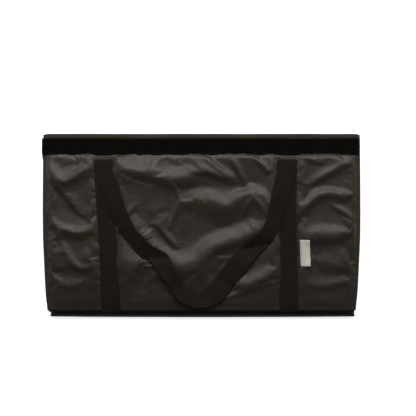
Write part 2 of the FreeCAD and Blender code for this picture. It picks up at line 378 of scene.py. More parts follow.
def wall_piece(side, folds, puff):
    """One wall: a grid of cloth with its folds drawn in, then settled by a cloth simulation."""
    up = outward[side]
    step = 0.0022 if side == "front" else 0.0040
    rows = int((wall_mouth - wall_foot) / step) + 1
    seam_side = np.array([0, 0.7, 1.6, 2.8, 4.0, 4.6, 5.0, 5.4, 5.8, 6.4, 7.6, 9.2]) / 1000
    between = np.arange(-wall_half + 0.011, wall_half - 0.0105, step)
    lines = np.concatenate([-wall_half + seam_side, between, (wall_half - seam_side)[::-1]])
    columns = len(lines)
    y = np.linspace(wall_foot, wall_mouth, rows)[:, None] * np.ones((1, columns))
    if side == "back":
        reach = (y - wall_foot) / (wall_mouth - wall_foot)
        y = y - (wall_box["front"][1].y - wall_box["back"][1].y) * reach - 0.0020 * (1 - reach)
    across = (lines / wall_half)[None, :] * np.ones((rows, 1))
    x = across * wall_half_width(y)
    from_edge = (1 - np.abs(across)) * wall_half
    from_foot = y - wall_foot
    tape_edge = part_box(f"{side}_mouth_tape")[0].y
    from_tape = tape_edge + 0.003 - y
    height = puff / 1000 * np.tanh(from_edge / 0.020) * np.tanh(np.maximum(from_tape, 0) / 0.009)
    height *= np.sin(np.pi / 2 * np.clip(from_foot / 0.085, 0, 1)) ** 0.8
    for points, lift, rim_spread, foot_spread in folds:
        height = height + crest(x, y, points, lift, rim_spread, foot_spread)
    held = np.clip(from_tape / 0.006, 0, 1) * np.clip((from_edge - 0.004) / 0.008, 0, 1)
    held *= np.clip(from_foot / 0.012, 0, 1)
    for hand in ("left", "right"):
        away = np.abs(x - leg_centre(side, hand, y)) - 0.012
        held *= 0.12 + 0.88 * np.clip(away / 0.012, 0, 1) ** 0.8
    height = np.maximum(height, 0) * held
    sewn_down = 0.1300001
    pinned = held < sewn_down
    points = np.stack([x, y, height], 2).reshape(-1, 3)
    faces = grid_faces(rows, columns)
    settled = settle(points, faces, pinned.reshape(-1), fullness=0.012 if side == "front" else 0.006)
    share = np.clip((from_foot.reshape(-1) - 0.010) / 0.045, 0, 1)[:, None]
    points = points * (1 - share) + settled * share
    most = np.full(len(points), front_rise if side == "front" else back_rise)
    if side == "front":
        loop_run = np.array([p[:2] for p in front_loop]) / 1000
        for a, b in zip(loop_run[:-1], loop_run[1:]):
            for share in (0.0, 0.33, 0.67):
                px, py = a + (b - a) * share
                near = np.exp(-((np.hypot(points[:, 0] - px, points[:, 1] - py) / 0.014) ** 2))
                most = np.minimum(most, front_rise - 0.0058 * near)
    points[:, 2] = most * np.tanh(np.maximum(points[:, 2], 0) / most)
    edge_drop = 0.0016 * np.exp(-((from_edge.reshape(-1) / 0.0025) ** 2))
    seam_line = 0.0009 * np.exp(-(((from_edge.reshape(-1) - 0.0052) / 0.0005) ** 2))
    points[:, 2] += -edge_drop - seam_line
    points[:, 2] = middle + up * (wall_mid + points[:, 2])
    if up < 0:
        faces = faces[:, ::-1]
    return mesh_piece(f"{side}_wall_cloth", points, faces, wall_nylon)


def settle(points, faces, pinned, fullness):
    """Lets a fold field relax as cloth for a few frames. It works at ten times life size, where the
    solver is steady, and the cloth is made a little fuller than its frame of seams."""
    scale = 10.0
    mesh = bpy.data.meshes.new("settling")
    mesh.from_pydata([tuple(p) for p in points * scale], [], [tuple(f) for f in faces])
    cloth = bpy.data.objects.new("settling", mesh)
    bpy.context.scene.collection.objects.link(cloth)
    group = cloth.vertex_groups.new(name="sewn")
    group.add([int(i) for i in np.nonzero(pinned)[0]], 1.0, "REPLACE")
    bed = bpy.data.meshes.new("bed")
    bed.from_pydata([(-4, -3, -0.03), (4, -3, -0.03), (4, 3, -0.03), (-4, 3, -0.03)], [], [(0, 1, 2, 3)])
    bed = bpy.data.objects.new("bed", bed)
    bpy.context.scene.collection.objects.link(bed)
    bed.modifiers.new("stop", "COLLISION")
    bed.collision.thickness_outer = 0.005
    modifier = cloth.modifiers.new("settle", "CLOTH")
    cloth_settings = modifier.settings
    cloth_settings.quality = 4
    cloth_settings.mass = 0.15
    cloth_settings.tension_stiffness = 40
    cloth_settings.compression_stiffness = 40
    cloth_settings.shear_stiffness = 12
    cloth_settings.bending_stiffness = 0.9
    cloth_settings.air_damping = 3
    cloth_settings.shrink_min = -fullness
    cloth_settings.vertex_group_mass = "sewn"
    cloth_settings.effector_weights.gravity = 0.05
    modifier.collision_settings.collision_quality = 2
    modifier.collision_settings.distance_min = 0.005
    modifier.point_cache.frame_start = 1
    modifier.point_cache.frame_end = 20
    scene = bpy.context.scene
    for step in range(1, modifier.point_cache.frame_end + 1):
        scene.frame_set(step)
    dg = bpy.context.evaluated_depsgraph_get()
    settled = bpy.data.meshes.new_from_object(cloth.evaluated_get(dg))
    co = np.zeros(len(settled.vertices) * 3)
    settled.vertices.foreach_get("co", co)
    scene.frame_set(1)
    bpy.data.objects.remove(cloth)
    bpy.data.objects.remove(bed)
    return co.reshape(-1, 3) / scale


def plain_mesh(piece):
    """Turns the piece's modifiers into plain mesh."""
    dg = bpy.context.evaluated_depsgraph_get()
    made = bpy.data.meshes.new_from_object(piece.evaluated_get(dg))
    piece.modifiers.clear()
    piece.data = made


def thicken(piece, thickness):
    """Gives a single sheet its thickness, evenly to both sides."""
    solid = piece.modifiers.new("thickness", "SOLIDIFY")
    solid.thickness = thickness
    solid.offset = 0.0
    solid.use_even_offset = False
    plain_mesh(piece)


def surface_of(piece):
    """The piece's faces, ready for finding how high they stand at a place."""
    mesh = piece.data
    return BVHTree.FromPolygons(
        [v.co.copy() for v in mesh.vertices], [tuple(p.vertices) for p in mesh.polygons]
    )


walls = {}
for side, folds, puff in (("front", front_folds, 5.5), ("back", back_folds, 1.2)):
    wall = wall_piece(side, folds, puff)
    thicken(wall, wall_thickness)
    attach(wall, side)
    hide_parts(f"{side}_panel")
    walls[side] = wall

bpy.context.view_layer.update()
wall_surface = {side: surface_of(wall) for side, wall in walls.items()}


def surface_height(surfaces, side, x, y):
    """How high the outside of these surfaces stands at (x, y), on the front or the back of the bag."""
    up = outward[side]
    start, towards = Vector((x, y, middle + up * 0.1)), Vector((0, 0, -up))
    hits = [surface.ray_cast(start, towards)[0] for surface in surfaces]
    found = [up * hit.z for hit in hits if hit]
    return up * max(found) if found else middle + up * wall_mid


# ---- Handle webbing --------------------------------------------------------------------------
# Ribbed black-brown webbing, 30 mm wide and 1.3 mm thick. One length makes each handle: it is sewn
# up the wall from the bottom seam, folds back on itself below the mouth tape, and hangs as a free
# loop. The loop has buckled once on each side, where it was pressed flat with the bag.
webbing_width = 0.0306
webbing_thick = 0.0013
webbing_ribs = 6
rib_height = 0.00016
loop_box = {side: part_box(f"{side}_handle_loop") for side in ("front", "back")}
loop_height = {side: (low.z + high.z) / 2 for side, (low, high) in loop_box.items()}


def ribbed_webbing(name):
    """Webbing: lengthwise ribs, fine cross threads and slightly fuzzy, dull yarn. Its colour carries painted
    shade, darker along each groove between the ribs.
    """
    material, shader, add, join = node_material(name)
    along = add("ShaderNodeUVMap", uv_map="run").outputs["UV"]
    rib_scale = 2.0 * math.pi * webbing_ribs / webbing_width / 20.0
    picks = texture(add, join, "Wave", along, bands_direction="Y", Scale=290.0, Distortion=0.8, Detail=2.0)
    # Bands in step with the ribs: painted shade, darkest along each groove between them.
    groove_shade = texture(add, join, "Wave", along, bands_direction="X", Scale=rib_scale)
    place = add("ShaderNodeTexCoord").outputs["Object"]
    fuzz = texture(add, join, "Noise", place, Scale=620.0, Detail=4.0, Roughness=0.7)
    dust = texture(add, join, "Noise", place, Scale=38.0, Detail=3.0, Roughness=0.6)
    tone = mixed(add, join, groove_shade, dust, 0.66)
    yarn = colour_ramp(add, join, tone, (0.0036, 0.0027, 0.0016), (0.0117, 0.0090, 0.0057), 0.2, 0.85)
    join(yarn, shader.inputs["Base Color"])
    shade(shader, Roughness=0.62, Specular_IOR_Level=0.10, Sheen_Weight=0.03, Sheen_Roughness=0.5)
    bumps(add, join, shader, (picks, 0.5, 0.00022), (fuzz, 0.4, 0.0002))
    return material


def unit(vectors):
    """These vectors, each brought to length one."""
    return vectors / np.linalg.norm(vectors, axis=1)[:, None]


def run_length(points):
    """How far along a line of points each of them is."""
    return np.concatenate([[0], np.cumsum(np.linalg.norm(np.diff(points, axis=0), axis=1))])


def swept_piece(name, outline, centres, across, up, material, end_sizes=(0.35, 0.72, 0.93), widths=None):
    """A closed solid: this outline carried along the centres. across and up are unit vectors at each
    centre, and end_sizes round off its ends. Its map runs in metres, across and then along."""
    count, corners = len(centres), len(outline)
    size = np.ones(count)
    for k, share in enumerate(end_sizes):
        size[k] = size[-1 - k] = share
    widths = np.ones(count) if widths is None else widths
    points = (
        centres[:, None, :]
        + across[:, None, :] * outline[None, :, 0, None] * (widths * size**0.3)[:, None, None]
        + up[:, None, :] * outline[None, :, 1, None] * size[:, None, None]
    ).reshape(-1, 3)
    index = np.arange(count * corners).reshape(count, corners)
    nxt = np.roll(index, -1, 1)
    faces = np.stack([index[:-1], nxt[:-1], nxt[1:], index[1:]], 2).reshape(-1, 4).tolist()
    faces += [index[0, ::-1].tolist(), index[-1].tolist()]
    piece = mesh_piece(name, points, faces, material)
    mesh = piece.data
    flat = np.stack([np.tile(outline[:, 0], count), np.repeat(run_length(centres), corners)], 1)
    uv = mesh.uv_layers.new(name="run")
    of_corner = np.zeros(len(mesh.loops), int)
    mesh.loops.foreach_get("vertex_index", of_corner)
    uv.data.foreach_set("uv", flat[of_corner].ravel())
    face_outwards(mesh)
    return piece


def face_outwards(mesh):
    """Turns every face of a closed mesh outwards."""
    shell = bmesh.new()
    shell.from_mesh(mesh)
    bmesh.ops.recalc_face_normals(shell, faces=shell.faces)
    shell.to_mesh(mesh)
    shell.free()


def webbing_outline():
    """Cross-section of the webbing: shallow ribs on both faces and rounded edges."""
    across = np.linspace(-1, 1, webbing_ribs * 6 + 1)
    ribbed = rib_height * np.abs(np.sin(np.pi * webbing_ribs * (across + 1) / 2)) ** 0.7
    edge = (1 - np.abs(across) ** 14) ** 0.5
    half = (webbing_thick / 2 - rib_height + ribbed) * edge
    top = np.stack([across * webbing_width / 2, half], 1)
    bottom = np.stack([across[-2:0:-1] * webbing_width / 2, -half[-2:0:-1]], 1)
    return np.concatenate([top, bottom])[::-1]


def smoothed(values, rounds):
    """Evens out a run of numbers, keeping its ends."""
    values = np.array(values, float)
    for _ in range(rounds):
        values[1:-1] = (values[:-2] + 2 * values[1:-1] + values[2:]) / 4
    return values


def run_frame(centres, lean):
    """Unit vectors across and up for a ribbon. lean, in radians, lifts its left-hand edge."""
    along = unit(np.gradient(centres, axis=0))
    left = unit(np.cross((0, 0, 1), along))
    normal = np.cross(along, left)
    across = left * np.cos(lean)[:, None] + normal * np.sin(lean)[:, None]
    return across, np.cross(along, across)


webbing = ribbed_webbing("handle_webbing")
legs = {}
for side in ("front", "back"):
    up = outward[side]
    for hand in ("left", "right"):
        top_x, foot_x, top, foot = leg_x[side, hand]
        y = np.append(np.arange(wall_foot - 0.0012, top - 0.001, 0.0025), top - 0.001)
        x = leg_centre(side, hand, y)
        high = [
            max(up * surface_height([wall_surface[side]], side, px + d, py) for d in np.arange(-2, 3) * 0.007)
            for px, py in zip(x, np.maximum(y, wall_foot + 0.0002))
        ]
        lift = smoothed(high, 8) + webbing_thick / 2 + 0.0001
        lift = np.minimum(lift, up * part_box(f"{side}_{hand}_handle_leg")[1 if up > 0 else 0].z)
        lift[:3] -= np.array([0.0022, 0.0009, 0.0002])
        centres = np.stack([x, y, up * lift], 1)
        across, out = run_frame(centres, np.zeros(len(x)))
        leg = swept_piece(
            f"{side}_{hand}_leg_webbing", webbing_outline(), centres, across, out, webbing, end_sizes=(0.9,)
        )
        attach(leg, side)
        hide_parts(f"{side}_{hand}_handle_leg")
        legs[side, hand] = leg
bpy.context.view_layer.update()
leg_surface = {key: surface_of(leg) for key, leg in legs.items()}

back_loop = [
    (-144, 92, 0, 1, 0), (-141, 70, 0, 1, 0), (-133, 38, 0, 1, 0), (-118, 4, 0, 1, 0), (-96, -34, 0, 1, 0),
    (-68, -70, 0, 1, 0), (-36, -99, 0, 1, 0), (0, -108, 0, 1, 0), (36, -99, 0, 1, 0), (68, -70, 0, 1, 0),
    (96, -34, 0, 1, 0), (118, 4, 0, 1, 0), (133, 38, 0, 1, 0), (141, 70, 0, 1, 0), (144, 92, 0, 1, 0),
]
# Each buckle of the front loop: the middle of its sharp line and the line's slope in plan.
buckles = [((-0.0695, -0.0505), 2.0), ((0.0850, -0.0320), 11.0)]


def curve_through(points, spacing):
    """Evenly spaced points on a smooth curve through these points, in as many columns as they have."""
    p = np.array(points, float)
    p = np.vstack([2 * p[0] - p[1], p, 2 * p[-1] - p[-2]])
    fine = []
    for k in range(1, len(p) - 2):
        t = np.linspace(0, 1, 20, endpoint=False)[:, None]
        before, here, after, beyond = p[k - 1:k + 3]
        fine.append(0.5 * (
            2 * here + (after - before) * t + (2 * before - 5 * here + 4 * after - beyond) * t**2
            + (3 * here - before - 3 * after + beyond) * t**3
        ))
    fine = np.vstack(fine + [p[-2:-1]])
    run = run_length(fine[:, :2])
    even = np.linspace(0, run[-1], max(2, int(round(run[-1] / spacing)) + 1))
    return np.stack([np.interp(even, run, fine[:, k]) for k in range(p.shape[1])], 1)


def loop_piece(side, route):
    """The free loop of one handle, with the bends at its roots where it leaves the legs."""
    up = outward[side]
    spacing = 1.6
    x, y, lean, share, skew = curve_through(route, spacing).T
    x, y, lean, skew = x / 1000, y / 1000, np.radians(lean), np.radians(skew)
    flat_height = loop_height[side]
    plan = unit(np.gradient(np.stack([x, y], 1), axis=0))
    left_x, left_y = -plan[:, 1], plan[:, 0]
    left = np.stack([
        left_x * np.cos(skew) - left_y * np.sin(skew), left_x * np.sin(skew) + left_y * np.cos(skew)
    ], 1)
    widths = share / np.cos(skew)
    surfaces = [wall_surface[side], leg_surface[side, "left"], leg_surface[side, "right"]]
    clear = []
    for k in range(len(x)):
        need = up * flat_height
        for d in np.linspace(-1, 1, 7) * webbing_width / 2 * widths[k]:
            ground = up * surface_height(surfaces, side, x[k] + left[k, 0] * d, y[k] + left[k, 1] * d)
            need = max(need, ground + webbing_thick / 2 + 0.0003 - d * math.sin(lean[k]))
        clear.append(need)
    clear = smoothed(np.maximum(clear, smoothed(clear, 14)), 4)
    from_root = np.minimum(np.arange(len(x)), np.arange(len(x))[::-1]) * spacing / 1000
    ease = np.clip((from_root - 0.030) / 0.030, 0, 1)
    height = up * flat_height + (clear - up * flat_height) * ease
    edge_drop = np.abs(np.sin(lean)) * webbing_width / 2
    if side == "front":
        highest = 0.0265
        height = np.maximum(np.minimum(height, highest - edge_drop), flat_height + edge_drop)
    else:
        height = np.full(len(x), flat_height)
    hinge_y = leg_x[side, "left"][2]
    leg_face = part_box(f"{side}_left_handle_leg")[1 if up > 0 else 0].z
    root_z = middle + up * (abs(leg_face - middle) - webbing_thick / 2)
    radius = abs(flat_height - root_z) / 2
    ends = []
    for hand in ("left", "right"):
        root_x = leg_x[side, hand][0]
        bend = [(root_x, hinge_y - 0.006, root_z)]
        for angle in np.linspace(-0.5, 0.5, 9) * math.pi:
            bend_y = hinge_y - 0.0016 + radius * math.cos(angle)
            bend.append((root_x, bend_y, (flat_height + root_z) / 2 + up * radius * math.sin(angle)))
        ends.append(np.array(bend))
    more = len(ends[0])
    centres = np.vstack([ends[0], np.stack([x, y, height], 1), ends[1][::-1]])
    lean = up * np.concatenate([np.zeros(more), lean, np.zeros(more)])
    widths = np.concatenate([np.ones(more), widths, np.ones(more)])
    left = np.vstack([np.tile((1.0, 0.0), (more, 1)), left, np.tile((-1.0, 0.0), (more, 1))])
    left = unit(np.stack([smoothed(left[:, 0], 3), smoothed(left[:, 1], 3), np.zeros(len(left))], 1))
    along = np.gradient(centres, axis=0)
    normal = unit(np.cross(along, left))
    across = left * np.cos(lean)[:, None] + normal * np.sin(lean)[:, None]
    out = unit(np.cross(along, across))
    loop = swept_piece(
        f"{side}_handle_loop_webbing", webbing_outline(), centres, across, out, webbing, widths=widths
    )
    if side == "front":
        root_from, lowest_z = 0.090, 0.01815
        for (px, py), slope in buckles:
            facing = np.array([-math.sin(math.radians(slope)), math.cos(math.radians(slope))])
            for v in loop.data.vertices:
                away = math.hypot(v.co.x - px, v.co.y - py)
                beyond = (v.co.x - px) * facing[0] + (v.co.y - py) * facing[1]
                hold = min(1.0, max(0.0, (0.062 - away) / 0.030))
                rise = 0.0044 * (1 - math.exp(-abs(beyond) / 0.011)) - 0.0012
                v.co.z += rise * hold * hold * (3 - 2 * hold)
                if beyond > 0:
                    v.co.y -= 0.0022 * hold * math.exp(-beyond / 0.004)
                if v.co.y < root_from:
                    v.co.z = max(v.co.z, lowest_z)
        loop.data.update()
    return loop


for side, route in (("front", front_loop), ("back", back_loop)):
    loop = loop_piece(side, route)
    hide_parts(f"{side}_handle_loop")
    if side == "front":
        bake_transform(loop)
    else:
        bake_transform(loop)

# ---- Mouth tape ------------------------------------------------------------------------------
# A 27 mm band of dull black napped tape, sewn flat round the mouth just under the binding. On each
# wall its ends run past the side seam and turn down round the edge.
tape_box = {side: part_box(f"{side}_mouth_tape") for side in ("front", "back")}


def napped_tape(name):
    """Dull black tape with a short looped nap that catches a few pale specks of lint."""
    material, shader, add, join = node_material(name)
    place = add("ShaderNodeTexCoord").outputs["Object"]
    nap = texture(add, join, "Noise", place, Scale=1500.0, Detail=3.0, Roughness=0.8)
    patch = texture(add, join, "Noise", place, Scale=60.0, Detail=3.0, Roughness=0.6)
    tone = mixed(add, join, nap, patch, 0.4)
    black = colour_ramp(add, join, tone, (0.0011, 0.0011, 0.0008), (0.0038, 0.0034, 0.0026), 0.35, 0.72)
    join(black, shader.inputs["Base Color"])
    shade(shader, Roughness=0.95, Specular_IOR_Level=0.06, Sheen_Weight=0.02)
    bumps(add, join, shader, (nap, 0.9, 0.0004))
    return material


tape_black = napped_tape("mouth_tape_black")
tapes = {}
for side in ("front", "back"):
    up = outward[side]
    low, high = tape_box[side]
    thick = 0.0011
    outer = (high.z if up > 0 else low.z) - up * thick / 2
    inner = (low.z if up > 0 else high.z) + up * 0.0005
    bend, reach = 0.0022, high.x - 0.0016 - thick / 2
    angles = np.linspace(math.pi, math.pi / 2, 8)
    turn = [(-reach + bend * (1 + math.cos(a)), outer - up * bend * (1 - math.sin(a))) for a in angles]
    short = 0.0040                      # how much sooner the right end turns down than the left one
    down = [(-reach, z) for z in np.linspace(inner, outer - up * bend, 5)[:-1]]
    half = np.array(down + turn)
    flat = np.linspace(-reach + bend, reach - bend - short, 160)[1:-1]
    level = np.stack([flat, np.full(len(flat), outer)], 1)
    path = np.vstack([half, level, half[::-1] * (-1, 1) - (short, 0)])
    ripple = 0.00022 * np.sin(path[:, 0] * 61.0) + 0.00018 * np.sin(path[:, 0] * 143.0 + 1.3)
    path[:, 1] -= up * np.abs(ripple)
    centre_y = (low.y + high.y) / 2 - 0.0011 + 0.00035 * np.sin(path[:, 0] * 23.0 + 0.7)
    centres = np.stack([path[:, 0], centre_y, path[:, 1]], 1)
    across = np.tile((0.0, 1.0, 0.0), (len(path), 1))
    out = unit(np.cross(unit(np.gradient(centres, axis=0)), across))
    edge = np.linspace(-1, 1, 25)
    stitch_dip = 1 - 0.30 * np.exp(-(((np.abs(edge) - 0.86) / 0.035) ** 2))
    half_thick = thick / 2 * (1 - np.abs(edge) ** 10) ** 0.5 * stitch_dip
    face = np.stack([edge * (high.y - low.y) / 2, half_thick], 1)
    outline = np.concatenate([face, face[-2:0:-1] * (1, -1)])
    tape = swept_piece(f"{side}_tape_band", outline, centres, across, out, tape_black)
    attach(tape, side)
    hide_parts(f"{side}_mouth_tape")
    tapes[side] = tape

# ---- Mouth binding ---------------------------------------------------------------------------
# The raw top edge of each wall is closed in a folded strip of the shell cloth, about 6 mm deep and
# topstitched. Its colour is painted lighter and olive: a painted sheen for the light the strip
# catches at its angle. Its ends are rounded off.
binding_cloth_painted_sheen = coated_nylon(
    "binding_cloth_painted_sheen", (0.016, 0.0138, 0.0085), (0.037, 0.032, 0.0205), (0.027, 0.0235, 0.017), 0.22
)


def soft_bar(name, low, high, corner, material, wave=0.0003, bow=0.0):
    """A soft, slightly uneven bar of folded cloth that fills the box from low to high along X. bow is
    how far its middle hangs out beyond its ends."""
    depth, tall = high.y - low.y, high.z - low.z
    outline = rounded_outline(depth, tall, corner)
    x = np.linspace(low.x, high.x, 150)
    shift = wave * (np.sin(x * 37.0 + tall * 900) + 0.6 * np.sin(x * 91.0 + depth * 700))
    sag = bow * (1 - (2 * (x - low.x) / (high.x - low.x) - 1) ** 2)
    centres = np.stack([x, (low.y + high.y) / 2 + shift * 0.5 - sag, (low.z + high.z) / 2 + 0 * x], 1)
    across = np.tile((0.0, 1.0, 0.0), (len(x), 1))
    out = np.tile((0.0, 0.0, 1.0), (len(x), 1))
    return swept_piece(name, outline, centres, across, out, material)


def rounded_outline(width, height, corner, steps=5):
    """A rectangle with round corners, as a closed outline."""
    points = []
    for quarter, (sx, sy) in enumerate(((1, 1), (-1, 1), (-1, -1), (1, -1))):
        for k in range(steps + 1):
            a = (quarter + k / steps) * math.pi / 2
            x = sx * (width / 2 - corner) + corner * math.cos(a)
            points.append((x, sy * (height / 2 - corner) + corner * math.sin(a)))
    return np.array(points)


for side in ("front", "back"):
    low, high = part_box(f"{side}_mouth_binding")
    bar = soft_bar(
        f"{side}_binding", low + Vector((0.0022, -0.0012, 0)), high - Vector((0.0026, 0, 0)), 0.0010,
        binding_cloth_painted_sheen
    )
    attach(bar, side)
    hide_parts(f"{side}_mouth_binding")

# ---- Bound seams -----------------------------------------------------------------------------
# Every seam is bound in a narrow dark strip. The side seams stand between wall and gusset. The
# back bottom seam is a thick roll of cloth with a black bound edge, and the folded bag rests on it.
# At the front bottom seam the dark strip also draws the line of shade under the wall's foot: painted shade.
seam_binding = coated_nylon(
    "seam_binding", (0.0010, 0.0009, 0.0007), (0.0030, 0.0026, 0.0020), (0.0022, 0.0020, 0.0018), 0.08
)
roll_cloth = coated_nylon(
    "roll_cloth", (0.0130, 0.0095, 0.0062), (0.0300, 0.0220, 0.0150), (0.0190, 0.0160, 0.0135), 0.25
)
for side in ("front", "back"):
    for hand in ("left", "right"):
        node = f"{side}_{hand}_side_piping"
        co = node_points(node)
        (low_y, low_z), (high_y, high_z) = co[:, 1:].min(0), co[:, 1:].max(0)
        foot_x = co[co[:, 1] < low_y + 0.004, 0].mean()
        head_x = co[co[:, 1] > high_y - 0.004, 0].mean()
        y = np.linspace(low_y + 0.0005, high_y - 0.0005, 90)
        x = foot_x + (head_x - foot_x) * (y - y[0]) / (y[-1] - y[0])
        centres = np.stack([x, y, np.full(len(y), (low_z + high_z) / 2)], 1)
        across, out = run_frame(centres, np.zeros(len(y)))
        outline = rounded_outline(0.0029, high_z - low_z - 0.0001, 0.0011)
        seam = swept_piece(f"{side}_{hand}_side_seam", outline, centres, across, out, seam_binding)
        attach(seam, side)
        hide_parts(node)
    low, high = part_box(f"{side}_bottom_piping")
    if side == "front":
        # A thin strip of the near-black seam binding. It is the bound seam and also the dark line of shade
        # under the front wall's foot, so its darkness is partly painted shade.
        bar = soft_bar(
            "front_bottom_seam_and_shade_line", low + Vector((0, 0.0020, 0)), high + Vector((0, 0.0016, 0)), 0.0011,
            seam_binding, wave=0.0001
        )
        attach(bar, side)
        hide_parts("front_bottom_piping")
    else:
        roll = soft_bar(
            "back_bottom_roll", low + Vector((0.002, 0.0012, 0)), high + Vector((0.001, 0.0010, 0)), 0.0026,
            roll_cloth, wave=0.0001, bow=0.0010
        )
        edge_top = Vector((high.x + 0.002, low.y + 0.0026, high.z - 0.0016))
        edge = soft_bar(
            "back_roll_edge", low + Vector((0.001, 0, 0.0022)), edge_top, 0.0013,
            seam_binding, wave=0.0001, bow=0.0010
        )
        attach(roll, side)
        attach(edge, side)
        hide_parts("back_bottom_piping")

# ---- Tag -------------------------------------------------------------------------------------
# A plain off-white woven tag, 16 by 42 mm, caught under the right leg's edge. Its loose side curls
# up a little.
tag_low, tag_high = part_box("side_label")


def woven_tag(name):
    """Off-white satin-woven tag with fine cross threads."""
    material, shader, add, join = node_material(name)
    place = add("ShaderNodeTexCoord").outputs["Object"]
    threads = texture(add, join, "Wave", place, bands_direction="Y", Scale=520.0, Distortion=0.5)
    soil = texture(add, join, "Noise", place, Scale=90.0, Detail=3.0)
    join(colour_ramp(add, join, soil, (0.40, 0.41, 0.36), (0.55, 0.56, 0.51)), shader.inputs["Base Color"])
    shade(shader, Roughness=0.7, Specular_IOR_Level=0.2)
    bumps(add, join, shader, (threads, 0.4, 0.0001))
    return material


rows, columns = 22, 10
tag_points = []
for j in range(rows):
    down = j / (rows - 1)
    for i in range(columns):
        out = i / (columns - 1)
        y = tag_low.y + 0.001 + (tag_high.y - tag_low.y) * down
        x = tag_low.x + (tag_high.x - tag_low.x) * out + 0.0016 * (1 - down)
        z = surface_height([wall_surface["front"], leg_surface["front", "right"]], "front", x, y)
        curl = 0.0006 + 0.0016 * out**2 * (0.6 + 0.4 * math.cos(j * 0.35))
        tag_points.append((x, y, z + curl))
tag = mesh_piece("tag", tag_points, grid_faces(rows, columns), woven_tag("tag_white"))
thicken(tag, 0.0006)
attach(tag, "front")
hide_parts("side_label")

# ---- Gussets ---------------------------------------------------------------------------------
# Each gusset is one panel of the shell cloth, creased down its middle. It folds in between the
# walls. Its inside carries the mouth tape on round, creased in the same place.
gusset_cloth = coated_nylon(
    "gusset_cloth", (0.0085, 0.0055, 0.0032), (0.0200, 0.0130, 0.0072), (0.0110, 0.0092, 0.0080)
)


def creased_sheet(name, hand, node, offset, thickness, material):
    """A sheet that lies on both halves of a folded gusset, offset from its middle on each side, and
    bends round the crease between them. Its outline is that of the two CAD leaves."""
    rows = 60
    share = np.linspace(0, 1, rows)[:, None]
    leaves = []
    for side in ("back", "front"):
        co = node_points(f"{side}_{hand}_{node}")
        from_centre = np.abs(co[:, 0])
        by_fold = from_centre < from_centre.min() + 0.012
        seam_line, fold_line = [
            part[part[:, 1].argmin()] + (part[part[:, 1].argmax()] - part[part[:, 1].argmin()]) * share
            for part in (co[~by_fold], co[by_fold])
        ]
        lines = [seam_line + (fold_line - seam_line) * across for across in np.linspace(0, 1, 26)]
        for line in lines:
            line[:, 2] = middle + outward[side] * offset
        leaves.append(lines)
    back_lines, front_lines = leaves
    direction = unit((back_lines[-1] - back_lines[0]) * (1, 1, 0))
    mean = (back_lines[-1] + front_lines[-1]) / 2
    arc = []
    for angle in np.linspace(-0.5, 0.5, 11)[1:-1] * math.pi:
        line = mean + direction * (0.0005 + offset * math.cos(angle))
        line[:, 2] = middle + offset * math.sin(angle)
        arc.append(line)
    lines = np.array(back_lines + arc + front_lines[::-1])
    wave = 0.00012 * np.sin(lines[:, :, 1] * 70 + lines[:, :, 0] * 45) * np.sign(lines[:, :, 2] - middle)
    flat_part = np.abs(np.abs(lines[:, :, 2] - middle) - offset) < 1e-6
    lines[:, :, 2] += np.where(flat_part, wave, 0)
    sheet = mesh_piece(name, lines.reshape(-1, 3), grid_faces(len(lines), rows, flipped=True), material)
    thicken(sheet, thickness)
    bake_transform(sheet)
    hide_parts(f"back_{hand}_{node}", f"front_{hand}_{node}")
    return sheet


for hand in ("left", "right"):
    gusset = creased_sheet(f"{hand}_gusset_cloth", hand, "gusset", 0.0016, 0.0007, gusset_cloth)
    band = creased_sheet(f"{hand}_gusset_band", hand, "gusset_tape", 0.0007, 0.0006, tape_black)

# ---- Base ------------------------------------------------------------------------------------
# The base is two cloth sleeves with a stiff board in each, joined by a crease in the middle. Four
# loose corners of cloth fill the ends beyond the slanting ends of the boards.
board_plastic, board_shader, add, join = node_material("board_plastic")
grain = texture(add, join, "Noise", add("ShaderNodeTexCoord").outputs["Object"], Scale=240.0, Detail=4.0)
black = colour_ramp(add, join, grain, (0.010, 0.010, 0.010), (0.022, 0.022, 0.021))
join(black, board_shader.inputs["Base Color"])
shade(board_shader, Roughness=0.55)
bumps(add, join, board_shader, (grain, 0.3, 0.0002))
for side in ("front", "back"):
    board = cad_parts[f"{side}_base_board"]
    board.data.materials.clear()
    board.data.materials.append(board_plastic)

base_cloth = coated_nylon(
    "base_cloth", (0.0075, 0.0050, 0.0030), (0.0180, 0.0118, 0.0068), (0.0100, 0.0085, 0.0075), 0.36
)
base_boxes = {side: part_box(f"{side}_base_sleeve") for side in ("front", "back")}


def sleeve_piece(side):
    """One sleeve: two layers of cloth over the board, sewn together along both long edges."""
    low, high = base_boxes[side]
    rows, columns = 34, 120
    middle_z, half_deep = (low.z + high.z) / 2, (high.z - low.z) / 2 - 0.0002
    faces, points = [], []
    for layer, up in enumerate((1, -1)):
        for share in np.arange(rows) / (rows - 1):
            y = low.y + (high.y - low.y) * share
            half_width = high.x - (high.y - low.y) * share
            fill = min(1.0, min(share, 1 - share) * 14.0) ** 0.5
            for i in range(columns):
                x = (-1 + 2 * i / (columns - 1)) * half_width
                ripple = 0.00012 * math.sin(x * 46 + up) * math.sin(y * 90 + 2 * up)
                points.append((x, y, middle_z + (up * half_deep + ripple) * fill))
        faces += (grid_faces(rows, columns)[:, ::up] + layer * rows * columns).tolist()
    sleeve = mesh_piece(f"{side}_base_cloth", points, faces, base_cloth)
    shell = bmesh.new()
    shell.from_mesh(sleeve.data)
    bmesh.ops.remove_doubles(shell, verts=shell.verts, dist=1e-6)
    shell.to_mesh(sleeve.data)
    shell.free()
    sleeve.data.polygons.foreach_set("use_smooth", np.ones(len(sleeve.data.polygons), bool))
    thicken(sleeve, 0.0004)
    return sleeve


for side in ("front", "back"):
    sleeve = sleeve_piece(side)
    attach(sleeve, f"base_{side}")
    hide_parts(f"{side}_base_sleeve")

